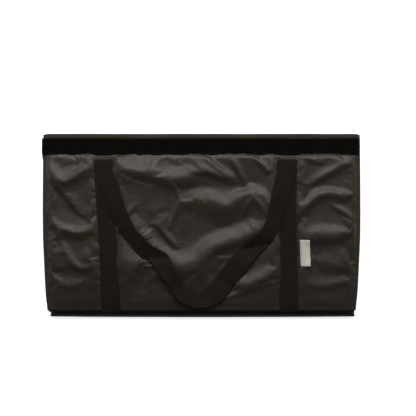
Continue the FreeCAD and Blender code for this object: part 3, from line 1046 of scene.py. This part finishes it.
crease_low, crease_high = base_boxes["front"]
crease_at = Vector((0, crease_high.y, middle))
crease_half = crease_high.x - (crease_high.y - crease_low.y) - 0.0030
crease_radius = (crease_low.z + crease_high.z) / 2 - middle
rows, columns = 80, 15
crease_points = [
    (x, crease_at.y + crease_radius * math.cos(angle), middle + crease_radius * math.sin(angle))
    for x in np.linspace(-crease_half, crease_half, rows)
    for angle in np.linspace(-0.5, 0.5, columns) * math.pi
]
crease = mesh_piece("base_crease", crease_points, grid_faces(rows, columns, flipped=True), base_cloth)
thicken(crease, 0.0005)
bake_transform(crease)

for side in ("front", "back"):
    for hand in ("left", "right"):
        node = f"{side}_{hand}_base_web"
        co = node_points(node)
        sign = -1 if hand == "left" else 1
        out = np.abs(co[:, 0])
        low_y, top_y = co[:, 1].min(), co[:, 1].max()
        lower, upper = co[:, 1] < low_y + 1e-4, co[:, 1] > top_y - 1e-4
        outer_x = out[lower].max() + 0.0001
        inner_foot, inner_head = out[lower].min() - 0.0045, out[upper].min() - 0.0045
        high_y = base_boxes[side][1].y + 0.00046
        web_z = (co[:, 2].min() + co[:, 2].max()) / 2
        rows, columns = 24, 20
        web_points = []
        for share in np.arange(rows) / (rows - 1):
            y = low_y + (high_y - low_y) * share
            inner_x = inner_foot + (inner_head - inner_foot) * share
            for i in range(columns):
                x = outer_x + (inner_x - outer_x) * i / (columns - 1)
                web_points.append((sign * x, y, web_z + 0.00025 * math.sin(x * 160 + y * 90)))
        web_faces = grid_faces(rows, columns)[:, ::-sign]
        web = mesh_piece(f"{side}_{hand}_base_corner", web_points, web_faces, base_cloth)
        thicken(web, 0.0005)
        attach(web, f"base_{side}")
        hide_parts(node)

# ---- Stitching -------------------------------------------------------------------------------
# Dark polyester lockstitch, about 3 mm long: two rows along each tape and each leg, one on each
# binding, a row inside each side edge, one on the tag, and the crossed box at the top of each leg.
thread_dark, thread_shader, add, join = node_material("thread_dark")
place = add("ShaderNodeTexCoord").outputs["Object"]
twist = texture(add, join, "Wave", place, bands_direction="DIAGONAL", Scale=500.0)
thread_brown = colour_ramp(add, join, twist, (0.0035, 0.0030, 0.0022), (0.0110, 0.0095, 0.0070))
join(thread_brown, thread_shader.inputs["Base Color"])
shade(thread_shader, Roughness=0.5, Specular_IOR_Level=0.35)


def stitch_row_tree():
    """Geometry nodes that lay one small stitch after another along every line of a mesh."""
    tree = bpy.data.node_groups.new("stitch_row", "GeometryNodeTree")
    face = tree.interface
    face.new_socket("Rows", in_out="INPUT", socket_type="NodeSocketGeometry")
    for label, value in (("Pitch", 0.0034), ("Stitch Length", 0.0027), ("Thread Radius", 0.00026)):
        socket = face.new_socket(label, in_out="INPUT", socket_type="NodeSocketFloat")
        socket.default_value = value
    face.new_socket("Thread", in_out="INPUT", socket_type="NodeSocketMaterial")
    face.new_socket("Stitches", in_out="OUTPUT", socket_type="NodeSocketGeometry")
    nodes = tree.nodes
    given, made = nodes.new("NodeGroupInput"), nodes.new("NodeGroupOutput")
    to_curve = nodes.new("GeometryNodeMeshToCurve")
    even = nodes.new("GeometryNodeResampleCurve")
    even.mode = "LENGTH"
    bead = nodes.new("GeometryNodeMeshUVSphere")
    shade(bead, Segments=6, Rings=4, Radius=1.0)
    half = nodes.new("ShaderNodeMath")
    half.operation = "MULTIPLY"
    half.inputs[1].default_value = 0.5
    size = nodes.new("ShaderNodeCombineXYZ")
    shape = nodes.new("GeometryNodeTransform")
    tangent = nodes.new("GeometryNodeInputTangent")
    turn = nodes.new("FunctionNodeAlignRotationToVector")
    turn.axis = "X"
    lay = nodes.new("GeometryNodeInstanceOnPoints")
    real = nodes.new("GeometryNodeRealizeInstances")
    paint = nodes.new("GeometryNodeSetMaterial")
    for source, output, target, entry in (
        (given, "Rows", to_curve, "Mesh"), (to_curve, "Curve", even, "Curve"),
        (given, "Pitch", even, "Length"), (given, "Stitch Length", half, 0), (half, "Value", size, "X"),
        (given, "Thread Radius", size, "Y"), (given, "Thread Radius", size, "Z"),
        (bead, "Mesh", shape, "Geometry"), (size, "Vector", shape, "Scale"),
        (tangent, "Tangent", turn, "Vector"), (even, "Curve", lay, "Points"),
        (shape, "Geometry", lay, "Instance"), (turn, "Rotation", lay, "Rotation"),
        (lay, "Instances", real, "Geometry"), (real, "Geometry", paint, "Geometry"),
        (given, "Thread", paint, "Material"), (paint, "Geometry", made, "Stitches"),
    ):
        tree.links.new(source.outputs[output], target.inputs[entry])
    return tree


stitch_row = stitch_row_tree()


def stitched(name, lines, body, thread, nodes_stood_for=(), **sizes):
    """Real stitches along these lines of points, as one plain mesh on one body."""
    vertices, edges = [], []
    for line in lines:
        start = len(vertices)
        vertices += [tuple(p) for p in line]
        edges += [(start + k, start + k + 1) for k in range(len(line) - 1)]
    mesh = bpy.data.meshes.new(name)
    mesh.from_pydata(vertices, edges, [])
    piece = bpy.data.objects.new(name, mesh)
    bpy.context.scene.collection.objects.link(piece)
    rows_of = piece.modifiers.new("rows", "NODES")
    rows_of.node_group = stitch_row
    socket = {item.name: item.identifier for item in stitch_row.interface.items_tree}
    rows_of[socket["Thread"]] = thread
    for label, value in sizes.items():
        rows_of[socket[label.replace("_", " ")]] = value
    plain_mesh(piece)
    made = piece.data
    if not made.materials:
        made.materials.append(thread)
    made.polygons.foreach_set("use_smooth", np.ones(len(made.polygons), bool))
    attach(piece, body)
    if nodes_stood_for:
        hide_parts(*nodes_stood_for)
    return piece


def surface_line(side, surfaces, points, sink=0.00008):
    """A line laid over the bag's outside through these (x, y) points."""
    fine = curve_through(points, 0.004) if len(points) > 2 else np.linspace(*points, 60)
    return [(x, y, surface_height(surfaces, side, x, y) - outward[side] * sink) for x, y in fine]


for side in ("front", "back"):
    binding = bpy.data.objects[f"{side}_binding"]
    bpy.context.view_layer.update()
    surfaces = [
        surface_of(piece)
        for piece in (walls[side], tapes[side], legs[side, "left"], legs[side, "right"], binding)
    ]
    low, high = tape_box[side]
    bind_low, bind_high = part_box(f"{side}_mouth_binding")
    across_rows = [(low.x + 0.006, high.x - 0.006, y) for y in (low.y + 0.0019, high.y - 0.0019)]
    across_rows.append((bind_low.x + 0.003, bind_high.x - 0.003, bind_low.y + 0.0018))
    lines = [surface_line(side, surfaces, [(start, y), (end, y)]) for start, end, y in across_rows]
    boxes = []
    for hand, sign in (("left", -1), ("right", 1)):
        top_x, foot_x, top, foot = leg_x[side, hand]
        for inset in (-1, 1):
            edge = inset * (webbing_width / 2 - 0.0024)
            ys = np.linspace(wall_foot + 0.002, top - 0.003, 9)
            lines.append(surface_line(side, surfaces, [(leg_centre(side, hand, y) + edge, y) for y in ys]))
        ys = np.linspace(wall_foot + 0.004, low.y - 0.002, 12)
        rim_shift = wall_box["front"][1].y - wall_box[side][1].y
        seam = [(sign * (float(wall_half_width(y + rim_shift)) - 0.0052), y) for y in ys]
        lines.append(surface_line(side, surfaces, seam))
        half, tall = 0.0108, 0.030
        upper, lower = top - 0.0035, top - 0.0035 - tall
        corners = [(top_x + sx * half, y) for sx, y in ((-1, lower), (1, lower), (1, upper), (-1, upper))]
        for a, b in ((0, 1), (1, 2), (2, 3), (3, 0), (0, 2), (1, 3)):
            boxes.append(surface_line(side, surfaces, [corners[a], corners[b]]))
    stitched(f"{side}_seam_stitches", lines, side, thread_dark)
    stitched(
        f"{side}_handle_box_stitches", boxes, side, thread_dark, [f"{side}_handle_bartacks"],
        Pitch=0.0026, Stitch_Length=0.0023
    )

tag_ends = [(tag_low.x + 0.0032, tag_low.y + 0.0025), (tag_low.x + 0.0018, tag_high.y)]
tag_row = surface_line("front", [surface_of(tag)], tag_ends)
stitched("tag_stitches", [tag_row], "front", thread_dark, Pitch=0.0026, Stitch_Length=0.0021)

low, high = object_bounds()
